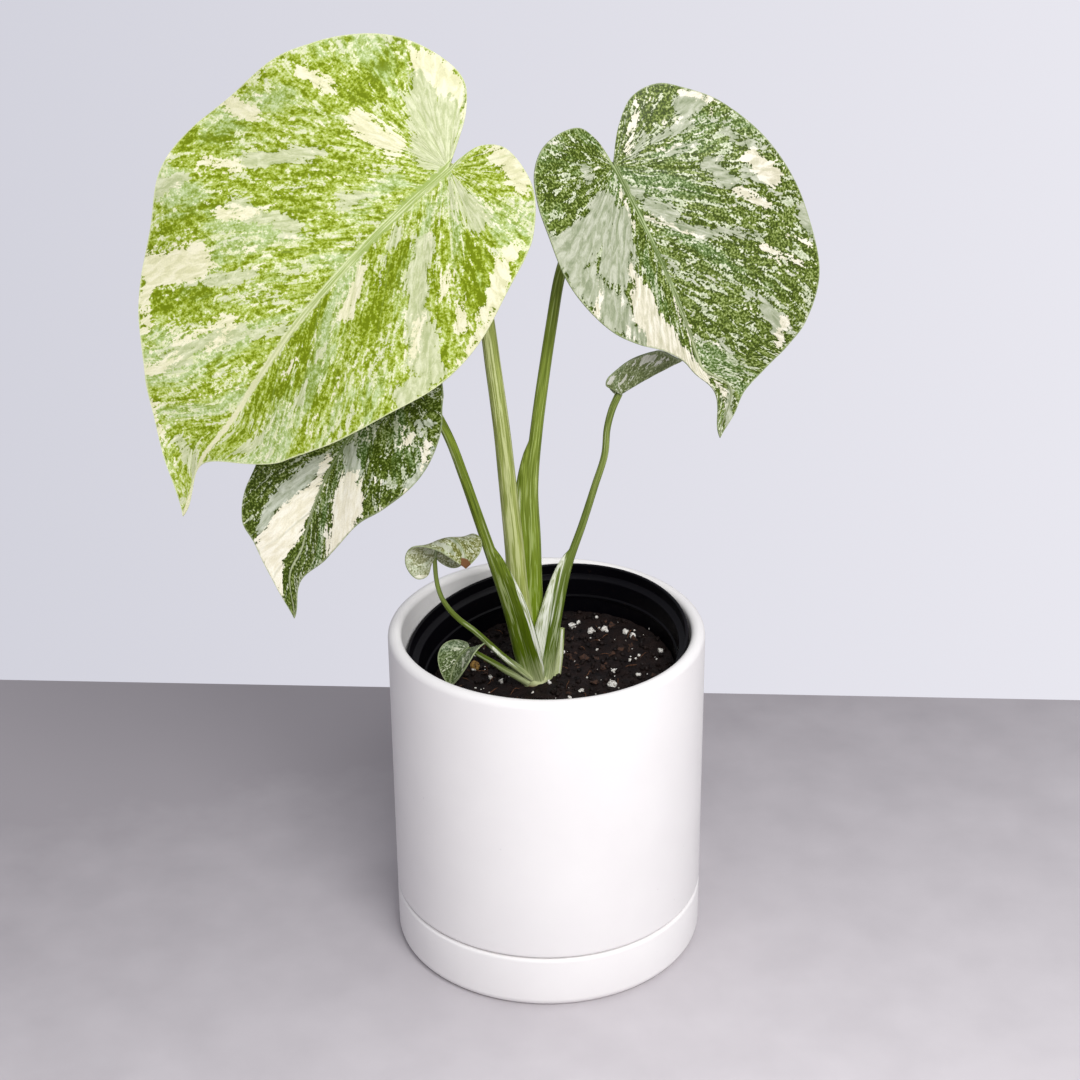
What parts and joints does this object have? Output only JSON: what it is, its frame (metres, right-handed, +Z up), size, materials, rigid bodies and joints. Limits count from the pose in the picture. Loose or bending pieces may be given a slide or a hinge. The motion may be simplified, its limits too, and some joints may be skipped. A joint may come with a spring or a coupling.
{
  "type": "potted monstera",
  "caption": "Young cream-variegated monstera with heart-shaped leaves, in a black nursery pot set in a white ceramic cylinder and saucer.",
  "frame": {"origin": "centre of the saucer's underside", "axes": "+Z up along the ceramic cylinder's axis, -Y towards the side the large leaves face, +X to the right as seen from there"},
  "size_m": [0.2642, 0.13, 0.381],
  "materials": {
    "white_glaze": "satin glaze",
    "black_plastic": "satin",
    "potting_mix": "rough, damp",
    "root_skin": "matt",
    "pale_leaf": "soft sheen",
    "dark_leaf": "soft sheen",
    "stalk_skin": "soft sheen",
    "dry_sheath": "matt"
  },
  "bodies": {
    "root": {"saucer": "white_glaze", "ceramic_pot": "white_glaze", "nursery_pot": "black_plastic", "soil": "potting_mix", "rootstock": "root_skin", "cut_sheath": "dry_sheath", "leaf_1_blade": "pale_leaf", "leaf_1_petiole": "stalk_skin", "leaf_2_blade": "dark_leaf", "leaf_2_petiole": "stalk_skin", "leaf_3_blade": "dark_leaf", "leaf_3_petiole": "stalk_skin", "leaf_4_blade": "dark_leaf", "leaf_4_petiole": "stalk_skin", "leaf_5_blade": "dark_leaf", "leaf_5_petiole": "stalk_skin", "leaf_6_blade": "dark_leaf", "leaf_6_petiole": "stalk_skin"}
  },
  "joints": []
}
